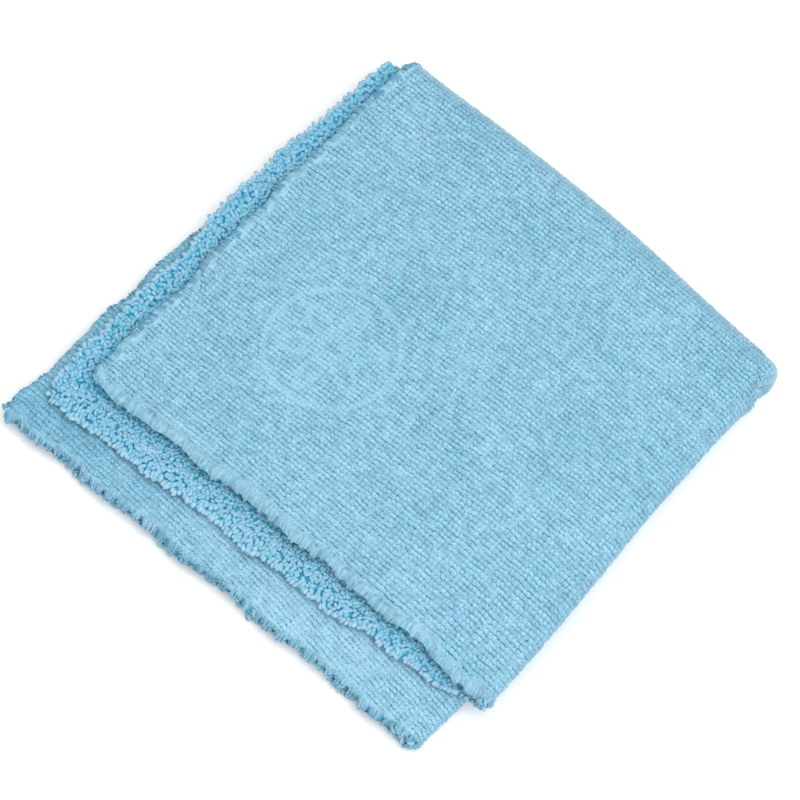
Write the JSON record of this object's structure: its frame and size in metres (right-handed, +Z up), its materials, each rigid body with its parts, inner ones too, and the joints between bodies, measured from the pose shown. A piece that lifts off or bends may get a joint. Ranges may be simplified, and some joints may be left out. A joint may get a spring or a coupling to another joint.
{
  "type": "folded microfibre cloth",
  "caption": "Square microfibre cleaning cloth, knit on one side and looped pile on the other, folded in quarters and lying flat with its cut edges stepped.",
  "frame": {"origin": "centre of the footprint, on the surface that the folded cloth lies on", "axes": "+Z up; +Y towards the double back fold; +X towards the single side fold; the cut edges are at -X and -Y"},
  "size_m": [0.214, 0.2162, 0.0204],
  "materials": {
    "microfibre": "matt light blue microfibre: pebbled knit on one side, short looped pile on the other"
  },
  "bodies": {
    "root": {"cloth": "microfibre"}
  },
  "joints": []
}
